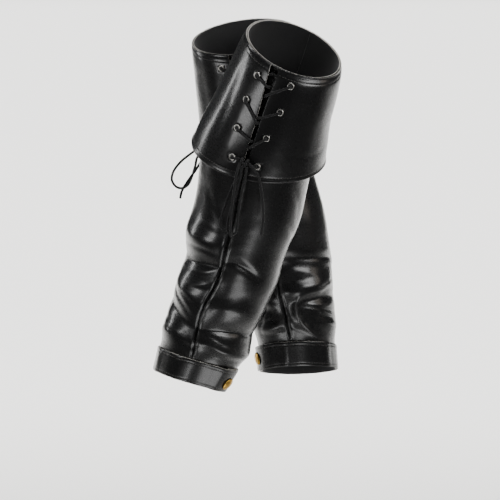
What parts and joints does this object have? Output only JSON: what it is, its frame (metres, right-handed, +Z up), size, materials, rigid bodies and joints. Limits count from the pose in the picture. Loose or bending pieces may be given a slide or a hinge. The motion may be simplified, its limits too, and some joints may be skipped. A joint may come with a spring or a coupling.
{
  "type": "pair of boot covers",
  "caption": "Pair of laced over-boot covers with turned-down cuffs and ankle straps, hollow and open at both ends.",
  "frame": {"origin": "midway between the centres of the two top openings, where the wearer's knees carry the pair", "axes": "+Z up, -Y towards the front of the pair, where the laces are, +X towards the side of the front cover's knee"},
  "size_m": [0.269, 0.3425, 0.5655],
  "materials": {
    "leather": "glossy black polyurethane-coated imitation leather with a fine grain and soft creases",
    "eyelet": "nickel-plated steel eyelets",
    "snap": "domed cap of a press snap, polished brass plate",
    "lace": "round braided polyester lace, matt black"
  },
  "bodies": {
    "root": {"left_shaft_inner": "leather", "left_shaft_outer": "leather", "left_cuff_inner": "leather", "left_cuff_outer": "leather", "left_strap": "leather", "left_snap": "snap", "left_eyelet_inner_1": "eyelet", "left_eyelet_inner_2": "eyelet", "left_eyelet_inner_3": "eyelet", "left_eyelet_inner_4": "eyelet", "left_eyelet_outer_1": "eyelet", "left_eyelet_outer_2": "eyelet", "left_eyelet_outer_3": "eyelet", "left_eyelet_outer_4": "eyelet", "left_lace_from_inner": "lace", "left_lace_from_outer": "lace", "left_bow_knot": "lace", "left_bow_loop_a": "lace", "left_bow_loop_b": "lace", "left_bow_tail_a": "lace", "left_bow_tail_b": "lace", "right_shaft_inner": "leather", "right_shaft_outer": "leather", "right_cuff_inner": "leather", "right_cuff_outer": "leather", "right_strap": "leather", "right_snap": "snap", "right_eyelet_inner_1": "eyelet", "right_eyelet_inner_2": "eyelet", "right_eyelet_inner_3": "eyelet", "right_eyelet_inner_4": "eyelet", "right_eyelet_outer_1": "eyelet", "right_eyelet_outer_2": "eyelet", "right_eyelet_outer_3": "eyelet", "right_eyelet_outer_4": "eyelet", "right_lace_from_inner": "lace", "right_lace_from_outer": "lace", "right_bow_knot": "lace", "right_bow_loop_a": "lace", "right_bow_loop_b": "lace", "right_bow_tail_a": "lace", "right_bow_tail_b": "lace"}
  },
  "joints": []
}
